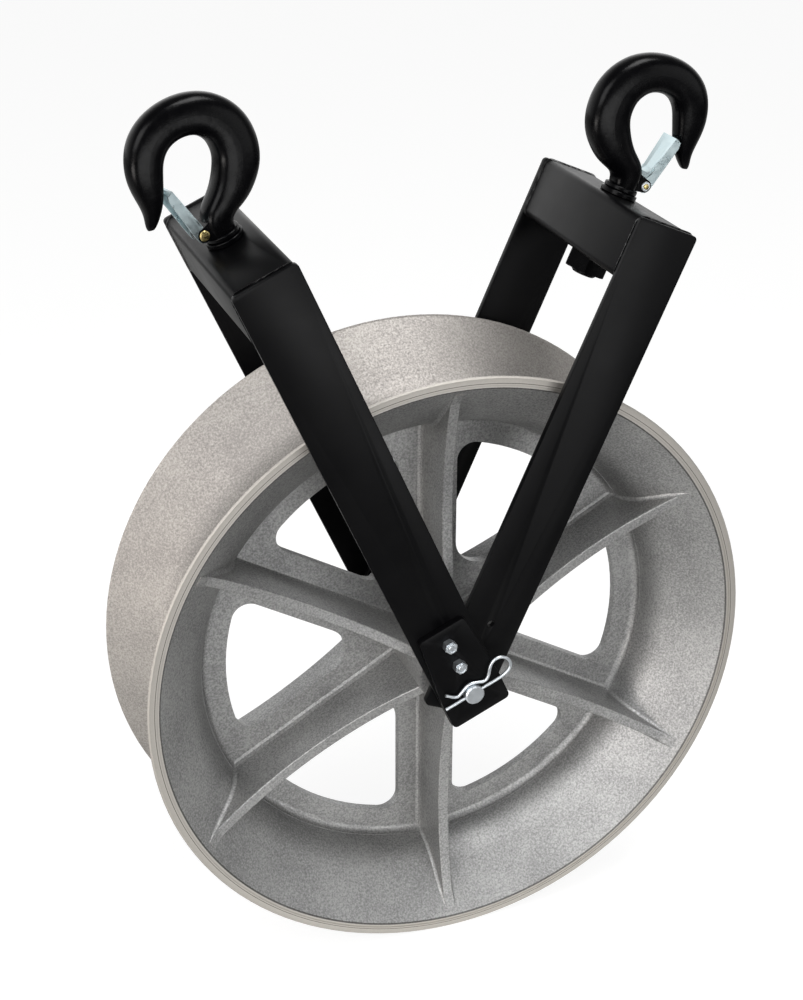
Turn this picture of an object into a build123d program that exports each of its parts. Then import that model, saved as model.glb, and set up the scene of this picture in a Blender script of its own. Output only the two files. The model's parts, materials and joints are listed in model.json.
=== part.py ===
"""Stringing block for overhead line work: one wide cast sheave, two swinging yokes and two hooks.

Millimetres, +Z up. The origin is the centre of the sheave, and the axle lies along Y with the
hitch pin at the -Y end. Each physical piece is written to parts/ as a STEP file of its own.
"""
import math
import os

from build123d import *

# ---------------------------------------------------------------- driving dimensions
SHEAVE_R = 305.0          # over the lips
SHEAVE_W = 172.0          # over both lip faces
WALL = 8.0                # rim wall between the groove and the bowl
BOWL_ROOT_R = 65.0        # radius of the rounded bottom of the bowl, in section
BOWL_DEPTH = 71.4         # from the lips down to the bowl's smallest radius, at the web
LIP_FACE = 10.6           # width of the flat lip face
LIP_EDGE = 1.6            # rounding of the lip's outer edge
WEB_T = 9.0
WEB_FILLET = 7.0
SPOKES = 6
SPOKE_FIRST_DEG = 30.0
WINDOW_RIM = 25.6         # web left between the bowl and each window's outer arc
WINDOW_SIDE = 30.0        # spoke centre line to the window's side
WINDOW_CORNER_OUT = 17.0
WINDOW_CORNER_IN = 26.0
RIB_T = 9.2               # rib thickness at its outer edge
RIB_DRAFT_DEG = 1.6
RIB_MID_Y = 55.2          # height of the rib's outer edge at its lowest place
RIB_MID_SHARE = 0.527     # where that is, from the hub out to the rib's tip
RIB_TIP_IN = 17.0         # from the lips in to the rib's tip
RIB_TIP_Y = 75.6
RIB_HUB_Y = 78.0
RIB_SINK = 8.0            # how far a rib runs into the hub
RIB_BLEND_IN = 38.0       # from the lips in to where the rib's edge turns into the flank
RIB_END_IN = 12.2         # from the lips in to where it has run out
RIB_EDGE_R = 1.1          # rounding of the rib's outer edge
RIB_FOOT_R = 4.0          # fillet between a rib and the bowl
RIB_FOOT_END_IN = 17.5
FOOT_STATIONS = 11
LIP_STEP = 0.8            # the turned step just inside the lip face
LIP_STEP_W = 2.2
HUB_R = 38.0
HUB_HALF = 86.0

AXLE_R = 9.5
AXLE_CHAMFER = 1.2
AXLE_HEAD_R = 16.0
AXLE_HEAD_T = 8.0
HUB_SPACER_R = 15.5
RUNNING_CLEARANCE = 0.06  # radial
BEARING_R = 20.6
BEARING_W = 14.0
WASHER_R = 17.0

YOKE_HALF_ANGLE = 23.77   # each yoke leans this far from +Z
LEG_W = 62.5
LEG_T = 6.0
LEG_TOP = 470.3           # from the axle to the top of the crosshead
LEG_FOOT = 31.6           # from the axle down to the end of the leg
FOOT_CORNER = 5.0
LEFT_SPAN = 231.0         # over the legs of the left, outer yoke
RIGHT_SPAN = 209.0        # over the legs of the right, inner yoke
TUBE_H = 59.0
TUBE_W = 61.0
TUBE_WALL = 6.0
TUBE_CORNER = 7.0
WELD_OUT = 1.4            # how far a bead stands out of the tube
WELD_ALONG = 2.6          # how far it runs along the tube

PLATE_T = 7.0
PLATE_TOP = 79.0
PLATE_FOOT = 28.5
PLATE_TOP_HALF = 24.6
PLATE_HALF = 31.1
BOLT_R = 3.2
BOLT_U = (35.5, 61.5)     # bolt centres above the axle, along the leg
SPARE_HOLE_U = 64.0       # the upper of the same two holes in the inner yoke's front leg
SPARE_HOLE_R = 3.5
NUT_AF = 11.1
NUT_T = 7.5

HITCH_WIRE_R = 1.55
HITCH_GAP = 2.0           # wire centre in front of the plate
PIN_END = 5.0             # pin end in front of the wire centre

SHANK_R = 12.0
HOOK_RING_R = 17.5
HOOK_RING_T = 5.0
HOOK_COLLAR_R = 16.0
HOOK_COLLAR_T = 4.5
HOOK_TURN_LEFT = 10.0    # turn of each hook about its shank
HOOK_TURN_RIGHT = 0.0
HOOK_NUT_AF = 38.0
HOOK_FULLNESS = 0.72      # 0.55 gives oval hook sections, 1.0 square ones
HOOK_TAPER = 0.05         # how much wider a section is on the bowl's side
HOOK_NUT_T = 17.0
LATCH_W = 26.0
LATCH_WALL = 1.8
LATCH_FLANGE = 8.5
LATCH_PIVOT = (18.0, 17.5)
LATCH_LENGTH = 51.5
LATCH_LEAN_DEG = 14.0
LATCH_EAR_R = 6.8
LATCH_BOLT_R = 2.5
LATCH_OPEN_FROM = 11.0    # the web starts this far up from the pivot

# Hook sections: outer point, inner point (both w, u above the crosshead) and half thickness.
HOOK_SECTIONS = (
    ((-12.0, 8.5), (12.0, 8.5), 12.0),
    ((-14.0, 15.0), (12.8, 18.0), 12.8),
    ((-20.5, 19.5), (8.5, 32.5), 13.8),
    ((-33.0, 24.0), (-4.0, 43.5), 14.6),
    ((-45.5, 32.0), (-13.5, 53.0), 15.2),
    ((-56.3, 43.0), (-19.5, 61.5), 15.4),
    ((-63.3, 56.5), (-23.5, 69.5), 15.5),
    ((-66.3, 71.5), (-24.8, 77.5), 15.5),
    ((-65.5, 87.0), (-23.8, 85.5), 15.4),
    ((-59.5, 103.5), (-19.8, 92.5), 15.2),
    ((-46.5, 119.5), (-14.6, 97.0), 15.0),
    ((-29.0, 130.0), (-8.6, 99.4), 14.6),
    ((-6.0, 135.0), (-1.8, 100.4), 14.2),
    ((16.5, 132.6), (5.4, 99.8), 14.0),
    ((35.5, 122.8), (12.8, 96.6), 13.6),
    ((48.2, 106.5), (19.4, 90.0), 13.0),
    ((54.0, 88.5), (24.0, 82.0), 12.2),
    ((54.6, 74.0), (28.6, 73.0), 11.0),
    ((54.4, 64.5), (34.0, 62.8), 9.4),
    ((55.4, 56.5), (40.8, 54.0), 7.4),
    ((57.4, 50.0), (47.6, 47.3), 5.2),
    ((57.8, 45.6), (52.4, 44.2), 3.0),
)


# ---------------------------------------------------------------- placing helpers
def yoke_location(side):
    """The yoke's own frame: local Z runs up the yoke, local Y stays along the axle."""
    lean = -YOKE_HALF_ANGLE if side == "left" else YOKE_HALF_ANGLE
    return Location((0, 0, 0), (0, lean, 0))


def hook_location(side):
    """Local X is the side the hook opens to, local Z up the shank, from the crosshead's top."""
    turn = 180.0 + HOOK_TURN_LEFT if side == "left" else HOOK_TURN_RIGHT
    return yoke_location(side) * Location((0, 0, LEG_TOP), (0, 0, turn))


def place(shape, location):
    return shape.moved(location)


def axial_cylinder(radius, y_low, y_high, x=0.0, z=0.0):
    """A cylinder along Y between two heights."""
    body = Solid.make_cylinder(radius, y_high - y_low, Plane(origin=(x, y_low, z), z_dir=(0, 1, 0)))
    return body


def ring(outer, inner, y_low, y_high):
    return axial_cylinder(outer, y_low, y_high) - axial_cylinder(inner, y_low - 1, y_high + 1)


def box_between(low, high):
    size = [high[i] - low[i] for i in range(3)]
    centre = [(high[i] + low[i]) / 2 for i in range(3)]
    return Pos(*centre) * Box(*size)


def hexagon(across_flats, thickness, plane):
    """A hexagonal prism standing on a plane, with its top corners chamfered."""
    radius = across_flats / math.sqrt(3)
    prism = extrude(plane * RegularPolygon(radius, 6), thickness)
    top = Plane(plane.origin + plane.z_dir * thickness, x_dir=plane.x_dir, z_dir=-plane.z_dir)
    cone = Solid.make_cone(radius * 0.945, radius * 0.945 + thickness * 1.73, thickness, top)
    return (prism & cone).solid()


def one_solid(shape):
    solids = shape.solids()
    if len(solids) != 1:
        raise ValueError("expected one solid, found %d" % len(solids))
    return solids[0]


# ---------------------------------------------------------------- sheave
def bowl_min_r():
    return SHEAVE_R - BOWL_DEPTH


def window_r():
    return bowl_min_r() - WINDOW_RIM


def flare_angle():
    """Angle of the flank that leaves the bowl's rounded bottom smoothly and ends at the lip."""
    across = bowl_min_r() + BOWL_ROOT_R - (SHEAVE_R - LIP_FACE)
    along = SHEAVE_W / 2
    return math.asin(BOWL_ROOT_R / math.hypot(across, along)) - math.atan2(across, along)


def rim_profile():
    """The rim's closed section in a plane with X as radius and Y as the axle's direction."""
    half = SHEAVE_W / 2
    flare = flare_angle()
    centre = bowl_min_r() + BOWL_ROOT_R

    def arc_point(radius, angle):
        return (centre - radius * math.cos(angle), radius * math.sin(angle))

    def flank_at(radius, y):
        start = arc_point(radius, flare)
        return start[0] + (y - start[1]) * math.tan(flare)

    groove_r = BOWL_ROOT_R - WALL
    bowl_end = flank_at(BOWL_ROOT_R, half)
    groove_y = half - LIP_EDGE * 1.6
    outer = SHEAVE_R
    groove_tip = arc_point(groove_r, flare)
    reach = (outer - groove_tip[0]) / math.tan(flare) + groove_tip[1]
    tip_y = min(reach, groove_y)
    with BuildSketch(Plane.XY) as sketch:
        with BuildLine():
            Polyline(
                arc_point(groove_r, flare),
                (flank_at(groove_r, tip_y), tip_y),
                (outer, half - LIP_EDGE),
                (outer - LIP_EDGE, half),
                (bowl_end + LIP_STEP_W, half),
                (bowl_end + LIP_STEP_W, half - LIP_STEP),
                (bowl_end - LIP_STEP * math.tan(flare), half - LIP_STEP),
                arc_point(BOWL_ROOT_R, flare),
            )
            ThreePointArc(
                arc_point(BOWL_ROOT_R, flare),
                (bowl_min_r(), 0),
                arc_point(BOWL_ROOT_R, -flare),
            )
            Polyline(
                arc_point(BOWL_ROOT_R, -flare),
                (bowl_end - LIP_STEP * math.tan(flare), -half + LIP_STEP),
                (bowl_end + LIP_STEP_W, -half + LIP_STEP),
                (bowl_end + LIP_STEP_W, -half),
                (outer - LIP_EDGE, -half),
                (outer, -half + LIP_EDGE),
                (flank_at(groove_r, tip_y), -tip_y),
                arc_point(groove_r, -flare),
            )
            ThreePointArc(
                arc_point(groove_r, -flare),
                arc_point(groove_r, 0),
                arc_point(groove_r, flare),
            )
        make_face()
    return sketch.sketch


def web_profile():
    """The web's section with a rounded root where it meets the bowl."""
    half = WEB_T / 2
    root = bowl_min_r() + 0.6
    outer = root + 3.4
    start = bowl_min_r() - WEB_FILLET
    top = half + WEB_FILLET
    with BuildSketch(Plane.XY) as sketch:
        with BuildLine():
            Line((HUB_R - 6, -half), (start, -half))
            RadiusArc((start, -half), (root, -top), WEB_FILLET)
            Polyline((root, -top), (outer, -top), (outer, top), (root, top))
            RadiusArc((root, top), (start, half), WEB_FILLET)
            Polyline((start, half), (HUB_R - 6, half), (HUB_R - 6, -half))
        make_face()
    return sketch.sketch


def window():
    """One rounded-triangle window between two spokes, centred on +X."""
    gap = math.radians(360.0 / SPOKES)
    apex = WINDOW_SIDE / math.sin(gap / 2)
    reach = 1.3 * window_r()
    side = (reach - apex) * math.tan(gap / 2)
    with BuildSketch(Plane.XZ) as sketch:
        with BuildLine():
            Polyline((apex, 0), (reach, side), (reach, -side), (apex, 0))
        make_face()
        Circle(window_r(), mode=Mode.INTERSECT)
        inner = sketch.vertices().sort_by_distance((0, 0, 0))[0]
        fillet(inner, WINDOW_CORNER_IN)
        fillet(outer_corners(sketch), WINDOW_CORNER_OUT)
    return extrude(sketch.sketch, WEB_T, both=True)


def outer_corners(sketch):
    return [v for v in sketch.vertices() if abs(math.hypot(v.X, v.Y, v.Z) - window_r()) < 0.01]


def circle_through(a, b, c):
    """Centre and radius of the circle through three points."""
    twice = 2 * (a[0] * (b[1] - c[1]) + b[0] * (c[1] - a[1]) + c[0] * (a[1] - b[1]))
    squares = [p[0] ** 2 + p[1] ** 2 for p in (a, b, c)]
    x = (squares[0] * (b[1] - c[1]) + squares[1] * (c[1] - a[1]) + squares[2] * (a[1] - b[1])) / twice
    y = (squares[0] * (c[0] - b[0]) + squares[1] * (a[0] - c[0]) + squares[2] * (b[0] - a[0])) / twice
    return x, y, math.hypot(a[0] - x, a[1] - y)


def rib_outline():
    """A rib seen from its side: its hollowed edge runs out smoothly into the flank."""
    inner = HUB_R - RIB_SINK
    tip_r = SHEAVE_R - RIB_TIP_IN
    mid_r = inner + RIB_MID_SHARE * (tip_r - inner)
    x, y, radius = circle_through((inner, RIB_HUB_Y), (mid_r, RIB_MID_Y), (tip_r, RIB_TIP_Y))

    def edge_at(r):
        return y - math.sqrt(radius ** 2 - (r - x) ** 2)

    turn = SHEAVE_R - RIB_BLEND_IN
    slope = (turn - x) / math.sqrt(radius ** 2 - (turn - x) ** 2)
    end = SHEAVE_R - RIB_END_IN
    end_slope = 1 / math.tan(flare_angle())
    end_y = SHEAVE_W / 2 - (SHEAVE_R - LIP_FACE - end) * end_slope - 0.5
    pull = 0.42 * (end - turn)
    middle = (inner + turn) / 2
    with BuildSketch(Plane.XY) as side:
        with BuildLine():
            Line((inner, -1.0), (inner, RIB_HUB_Y))
            ThreePointArc((inner, RIB_HUB_Y), (middle, edge_at(middle)), (turn, edge_at(turn)))
            leave = (turn + pull, edge_at(turn) + pull * slope)
            arrive = (end - pull, end_y - pull * end_slope)
            Bezier((turn, edge_at(turn)), leave, arrive, (end, end_y))
            Polyline((end, end_y), (end, -1.0), (inner, -1.0))
        make_face()
    return side.sketch


def rib_half(y):
    """Half a rib's thickness at a height above the web, with its draft."""
    root, tip = rib_halves()
    low = WEB_T / 2 + 4.5
    return root + (tip - root) * (y - low) / (SHEAVE_W / 2 - low)


def rib_halves():
    draft = math.tan(math.radians(RIB_DRAFT_DEG))
    root = RIB_T / 2 + SHEAVE_W / 2 * draft
    tip = RIB_T / 2 - (SHEAVE_W / 2 - RIB_MID_Y) * draft + 0.8
    return root, tip


def rib_foot():
    """The fillet between a rib and the bowl: one loft that follows the bowl out to the rib's tip."""
    flare = flare_angle()
    centre = bowl_min_r() + BOWL_ROOT_R
    first = math.radians(8)
    arc_length = BOWL_ROOT_R * (flare - first)
    turn = (centre - BOWL_ROOT_R * math.cos(flare), BOWL_ROOT_R * math.sin(flare))
    total = arc_length + (SHEAVE_R - RIB_FOOT_END_IN - turn[0]) / math.sin(flare)
    fade = 5.5 * RIB_FOOT_R
    wires = []
    for index in range(FOOT_STATIONS):
        way = total * index / (FOOT_STATIONS - 1)
        angle = min(first + way / BOWL_ROOT_R, flare)
        past = max(0.0, way - arc_length)
        r = centre - BOWL_ROOT_R * math.cos(angle) + past * math.sin(flare)
        y = BOWL_ROOT_R * math.sin(angle) + past * math.cos(flare)
        left = min(1.0, (total - way) / fade)
        radius = 0.5 + (RIB_FOOT_R - 0.5) * left
        wires.append(foot_wire(r, y, angle, rib_half(y) - 0.15, radius))
    return Solid.make_loft(wires)


def foot_wire(r, y, angle, half, radius):
    """One section of a foot, across the rib: flat under the bowl's face, with two hollow sides."""
    sink = 1.5
    hollow = 0.45 * radius

    def point(across, above):
        return Vector(r - above * math.cos(angle), y + above * math.sin(angle), across)

    edges = [Edge.make_line(point(-half - radius, -sink), point(-half - radius, 0.02))]
    rise = (point(-half - hollow, 0.02), point(-half, hollow))
    edges.append(Edge.make_bezier(point(-half - radius, 0.02), *rise, point(-half, radius)))
    edges.append(Edge.make_line(point(-half, radius), point(half, radius)))
    fall = (point(half, hollow), point(half + hollow, 0.02))
    edges.append(Edge.make_bezier(point(half, radius), *fall, point(half + radius, 0.02)))
    edges.append(Edge.make_line(point(half + radius, 0.02), point(half + radius, -sink)))
    edges.append(Edge.make_line(point(half + radius, -sink), point(-half - radius, -sink)))
    return Wire(edges)


def rib_pair():
    """The two ribs of one spoke, along +X: tall plates with draft, rounded edges and filleted feet."""
    height = SHEAVE_W / 2
    slab = extrude(rib_outline(), HUB_R, both=True)
    root, tip = rib_halves()
    foot = WEB_T / 2
    with BuildSketch(Plane.YZ) as section:
        with BuildLine():
            Polyline((-1, -root - 4), (foot, -root - 4), (foot + 1.2, -root - 1.4), (foot + 4.5, -root))
            Polyline((foot + 4.5, -root), (height, -tip), (height, tip), (foot + 4.5, root))
            Polyline((foot + 4.5, root), (foot + 1.2, root + 1.4), (foot, root + 4), (-1, root + 4))
            Line((-1, root + 4), (-1, -root - 4))
        make_face()
    bar = extrude(section.sketch, SHEAVE_R)
    rib = one_solid(slab & bar)
    outer = [e for e in rib.edges() if is_rib_edge(e)]
    rib = one_solid(fillet(outer, RIB_EDGE_R))
    one = one_solid(rib + rib_foot())
    return one, one.mirror(Plane.XZ)


def is_rib_edge(edge):
    """True for the long edges on either side of a rib's outer face."""
    middle = edge.center()
    beside = abs(abs(middle.Z) - RIB_T / 2) < 2.0
    return beside and middle.Y > 0.9 * RIB_MID_Y and edge.bounding_box().size.X > 5


def sheave():
    rim = revolve(rim_profile(), Axis.Y)
    web = revolve(web_profile(), Axis.Y)
    hub = axial_cylinder(HUB_R, -HUB_HALF, HUB_HALF)
    body = rim + web + hub
    opening = window()
    step = 360.0 / SPOKES
    for index in range(SPOKES):
        angle = SPOKE_FIRST_DEG + step * (index + 0.5)
        body = body - opening.rotate(Axis.Y, -angle)
    # Everything a rib may fill: the space inside the middle of the rim's wall.
    for index in range(SPOKES):
        angle = SPOKE_FIRST_DEG + step * index
        for rib in rib_pair():
            body = body + trim_rib(rib).rotate(Axis.Y, -angle)
    bore = axial_cylinder(BEARING_R + 0.03, -HUB_HALF - 1, HUB_HALF + 1)
    step_bore = axial_cylinder(BEARING_R - 4, -HUB_HALF + BEARING_W + 3, HUB_HALF - BEARING_W - 3)
    plug = axial_cylinder(BEARING_R + 0.03, -HUB_HALF + BEARING_W + 3, HUB_HALF - BEARING_W - 3)
    body = body - (bore - (plug - step_bore))
    return one_solid(body)


def trim_rib(rib):
    """Cut a rib back to the middle of the rim's wall, so that it never enters the groove."""
    half = SHEAVE_W / 2
    flare = flare_angle()
    centre = bowl_min_r() + BOWL_ROOT_R
    radius = BOWL_ROOT_R - WALL / 2
    turn = (centre - radius * math.cos(flare), radius * math.sin(flare))
    end = turn[0] + (half + 5 - turn[1]) * math.tan(flare)
    with BuildSketch(Plane.XY) as sketch:
        with BuildLine():
            Polyline((1, -half - 5), (end, -half - 5), (turn[0], -turn[1]))
            ThreePointArc((turn[0], -turn[1]), (centre - radius, 0), turn)
            Polyline(turn, (end, half + 5), (1, half + 5), (1, -half - 5))
        make_face()
    space = revolve(sketch.sketch, Axis.Y)
    return one_solid(rib & space)


def bearing(sign):
    """A sealed bearing with its two rings and its shield shown as one closed piece."""
    y_out = HUB_HALF - 0.6
    y_in = y_out - BEARING_W
    low, high = (y_in, y_out) if sign > 0 else (-y_out, -y_in)
    body = ring(BEARING_R, AXLE_R + RUNNING_CLEARANCE, low, high)
    face = y_out - 0.8
    if sign > 0:
        cut = ring(BEARING_R - 3.2, AXLE_R + 3.0, face, y_out + 1)
    else:
        cut = ring(BEARING_R - 3.2, AXLE_R + 3.0, -y_out - 1, -face)
    return one_solid(body - cut)


# ---------------------------------------------------------------- axle and its keeper
def leg_outer(side):
    return (LEFT_SPAN if side == "left" else RIGHT_SPAN) / 2


def plate_front():
    return leg_outer("left") + PLATE_T


def wire_y():
    return plate_front() + HITCH_GAP + HITCH_WIRE_R


def axle_pin():
    front = -(wire_y() + PIN_END)
    rear = leg_outer("left") + 0.1
    pin = axial_cylinder(AXLE_R, front, rear + 0.5)
    head = axial_cylinder(AXLE_HEAD_R, rear, rear + AXLE_HEAD_T)
    body = pin + head
    body = chamfer(body.edges().group_by(Axis.Y)[0], AXLE_CHAMFER)
    body = chamfer(body.edges().group_by(Axis.Y)[-1], AXLE_CHAMFER)
    lean = yoke_location("left")
    start = Plane(origin=(-3 * AXLE_R, -wire_y(), 0), z_dir=(1, 0, 0))
    hole = Solid.make_cylinder(HITCH_WIRE_R + 0.35, 6 * AXLE_R, start)
    return one_solid(body - place(hole, lean))


def spacer(sign, low, high, outer):
    y_low, y_high = (low, high) if sign > 0 else (-high, -low)
    return one_solid(ring(outer, AXLE_R + RUNNING_CLEARANCE, y_low, y_high))


def hitch_pin():
    """A spring-wire R clip: a straight leg through the axle and a waved leg over it."""
    grip = AXLE_R + HITCH_WIRE_R + 0.25
    points = [(x, 0.0) for x in (-30.4, -15.0, 0.0, 15.0, 28.0)]
    points += [(36.5, 1.2), (42.4, 4.6), (44.6, 10.0), (42.6, 16.4), (37.0, 20.9)]
    points += [(31.0, 21.0), (26.2, 17.6), (22.2, 11.8), (18.6, 7.4), (15.0, 6.0)]
    points += [(10.0, 0.68 * grip), (5.0, 0.89 * grip), (0.0, grip), (-5.0, 0.89 * grip)]
    points += [(-10.0, 0.68 * grip), (-15.0, 6.3), (-19.0, 8.6), (-24.7, 14.6)]
    path = Edge.make_spline([Vector(x, -wire_y(), z) for x, z in points])
    profile = Plane(origin=path @ 0, z_dir=path % 0) * Circle(HITCH_WIRE_R)
    wire = sweep(profile, path=path)
    return place(one_solid(wire), yoke_location("left"))


# ---------------------------------------------------------------- yokes
def leg(side, sign):
    outer = leg_outer(side)
    low, high = (outer - LEG_T, outer) if sign > 0 else (-outer, -outer + LEG_T)
    body = box_between((-LEG_W / 2, low, -LEG_FOOT), (LEG_W / 2, high, LEG_TOP))
    feet = body.edges().filter_by(Axis.Y).group_by(Axis.Z)[0]
    body = fillet(feet, FOOT_CORNER)
    tops = body.edges().filter_by(Axis.Y).group_by(Axis.Z)[-1]
    body = fillet(tops, 4.0)
    body = body - axial_cylinder(AXLE_R + RUNNING_CLEARANCE, low - 1, high + 1)
    if sign < 0:
        pitch = BOLT_U[1] - BOLT_U[0]
        holes = BOLT_U if side == "left" else (SPARE_HOLE_U - pitch, SPARE_HOLE_U)
        radius = BOLT_R + 0.3 if side == "left" else SPARE_HOLE_R
        for height in holes:
            body = body - axial_cylinder(radius, low - 1, high + 1, 0, height)
    return place(one_solid(body), yoke_location(side))


def crosshead(side):
    """A square tube between the legs, bored through top and bottom for the hook's shank."""
    half = leg_outer(side) - LEG_T
    with BuildSketch(Plane.XZ) as section:
        with Locations((0, LEG_TOP - TUBE_H / 2)):
            RectangleRounded(TUBE_W, TUBE_H, TUBE_CORNER)
            RectangleRounded(TUBE_W - 2 * TUBE_WALL, TUBE_H - 2 * TUBE_WALL, 2.0, mode=Mode.SUBTRACT)
    body = extrude(section.sketch, half, both=True)
    hole = Solid.make_cylinder(SHANK_R + 0.08, TUBE_H + 10, Plane(origin=(0, 0, LEG_TOP - TUBE_H - 5)))
    return place(one_solid(body - hole), yoke_location(side))


def weld(side, sign):
    """The bead around the end of the tube, against the leg's inner face: a tapered ring."""
    half = leg_outer(side) - LEG_T
    face = Plane(origin=(0, sign * half, LEG_TOP - TUBE_H / 2), x_dir=(1, 0, 0), z_dir=(0, -sign, 0))
    wide = RectangleRounded(TUBE_W + 2 * WELD_OUT, TUBE_H + 2 * WELD_OUT, TUBE_CORNER + WELD_OUT)
    narrow = RectangleRounded(TUBE_W + 0.6, TUBE_H + 0.6, TUBE_CORNER + 0.3)
    inner = RectangleRounded(TUBE_W, TUBE_H, TUBE_CORNER)
    top = face.offset(WELD_ALONG)
    body = loft([(face * wide).face(), (top * narrow).face()])
    body = body - extrude(face * inner, WELD_ALONG + 1, both=True)
    return place(one_solid(body), yoke_location(side))


def pin_plate():
    low = -plate_front()
    high = -leg_outer("left")
    with BuildSketch(Plane.XZ) as section:
        with BuildLine():
            Polyline(
                (-PLATE_HALF, -PLATE_FOOT),
                (-PLATE_HALF, 2.0),
                (-PLATE_TOP_HALF, PLATE_TOP),
                (PLATE_TOP_HALF, PLATE_TOP),
                (PLATE_HALF, 2.0),
                (PLATE_HALF, -PLATE_FOOT),
                (-PLATE_HALF, -PLATE_FOOT),
            )
        make_face()
        corners = section.vertices()
        ends = corners.group_by(Axis.Z)[0] + corners.group_by(Axis.Z)[-1]
        fillet(ends, FOOT_CORNER)
    body = extrude(section.sketch, PLATE_T)
    body = body.moved(Location((0, low - body.bounding_box().min.Y, 0)))
    body = body - axial_cylinder(AXLE_R + RUNNING_CLEARANCE, low - 1, high + 1)
    for height in BOLT_U:
        body = body - axial_cylinder(BOLT_R + 0.3, low - 1, high + 1, 0, height)
    return place(one_solid(body), yoke_location("left"))


def plate_bolts():
    """Hexagon bolts from inside the leg; their ends stand proud of the nuts in front."""
    head_face = -leg_outer("left") + LEG_T
    found = []
    for height in BOLT_U:
        shaft = axial_cylinder(BOLT_R, -plate_front() - NUT_T - 1.5, head_face + 1.0, 0, height)
        shaft = chamfer(shaft.edges().group_by(Axis.Y)[0], 0.7)
        plane = Plane(origin=(0, head_face + 3.6, height), x_dir=(1, 0, 0), z_dir=(0, -1, 0))
        head = extrude(plane * RegularPolygon(NUT_AF / math.sqrt(3), 6), 3.6)
        found.append(place(one_solid(shaft + head), yoke_location("left")))
    return found


def plate_nuts():
    found = []
    for height in BOLT_U:
        plane = Plane(origin=(0, -plate_front(), height), x_dir=(1, 0, 0), z_dir=(0, -1, 0))
        nut = hexagon(NUT_AF, NUT_T, plane)
        nut = nut - axial_cylinder(BOLT_R + 0.05, -plate_front() - 20, -plate_front() + 5, 0, height)
        found.append(place(one_solid(nut), yoke_location("left")))
    return found


# ---------------------------------------------------------------- hooks
def hook_wire(outer, inner, half):
    """One closed section of the hook: a rounded box that is a little wider on the bowl's side."""
    cx = (outer[0] + inner[0]) / 2
    cz = (outer[1] + inner[1]) / 2
    dx = (inner[0] - outer[0]) / 2
    dz = (inner[1] - outer[1]) / 2

    def point(along, across):
        across = across * (1.0 + HOOK_TAPER * along)
        return Vector(cx + dx * along, half * across, cz + dz * along)

    full = HOOK_FULLNESS
    edges = []
    for sign in (1, -1):
        rise = ((sign, 0), (sign, sign * full), (sign * full, sign), (0, sign))
        fall = ((0, sign), (-sign * full, sign), (-sign, sign * full), (-sign, 0))
        edges.append(Edge.make_bezier(*[point(*pair) for pair in rise]))
        edges.append(Edge.make_bezier(*[point(*pair) for pair in fall]))
    return Wire(edges)


def hook_body():
    """A forged hook: its bent body, its collar, its lug and its shank, in one piece."""
    wires = [hook_wire(outer, inner, half) for outer, inner, half in HOOK_SECTIONS]
    bent = Solid.make_loft(wires)
    base = HOOK_RING_T + 0.3
    collar = Solid.make_cylinder(HOOK_COLLAR_R, HOOK_COLLAR_T, Plane(origin=(0, 0, base)))
    collar = fillet(collar.edges().filter_by(GeomType.CIRCLE), 1.2)
    neck = Solid.make_cylinder(SHANK_R, 12.0, Plane(origin=(0, 0, base)))
    shank_low = -TUBE_H - HOOK_NUT_T - 4.0
    shank = Solid.make_cylinder(SHANK_R, base + 1.0 - shank_low, Plane(origin=(0, 0, shank_low)))
    shank = chamfer(shank.edges().group_by(Axis.Z)[0], 1.5)
    lug = lug_block()
    body = bent + collar + neck + shank + lug
    return one_solid(body)


def lug_block():
    """The ear that carries the latch's pivot bolt, on the opening side of the neck."""
    x, z = LATCH_PIVOT
    half = LATCH_W / 2 - LATCH_WALL - 1.6
    ear = axial_cylinder(LATCH_EAR_R - 0.8, -half, half, x, z)
    with BuildSketch(Plane.XZ) as sketch:
        with BuildLine():
            Polyline((2.0, z - 9.0), (x, z - 6.0), (x, z + 6.0), (2.0, z + 11.0), (2.0, z - 9.0))
        make_face()
    link = extrude(sketch.sketch, half, both=True)
    hole = axial_cylinder(LATCH_BOLT_R + 0.06, -half - 1, half + 1, x, z)
    return ear + link - hole


def hook_ring():
    """The thrust ring between the hook's collar and the crosshead."""
    outer = Solid.make_cylinder(HOOK_RING_R, HOOK_RING_T, Plane(origin=(0, 0, 0.1)))
    outer = fillet(outer.edges().filter_by(GeomType.CIRCLE), 1.0)
    inner = Solid.make_cylinder(SHANK_R + 0.2, HOOK_RING_T + 2, Plane(origin=(0, 0, -1)))
    return one_solid(outer - inner)


def hook_nut():
    plane = Plane(origin=(0, 0, -TUBE_H - 0.4), x_dir=(1, 0, 0), z_dir=(0, 0, -1))
    nut = hexagon(HOOK_NUT_AF, HOOK_NUT_T, plane)
    hole = Solid.make_cylinder(SHANK_R + 0.03, HOOK_NUT_T + 6, Plane(origin=(0, 0, -TUBE_H - HOOK_NUT_T - 3)))
    return one_solid(nut - hole)


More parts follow.
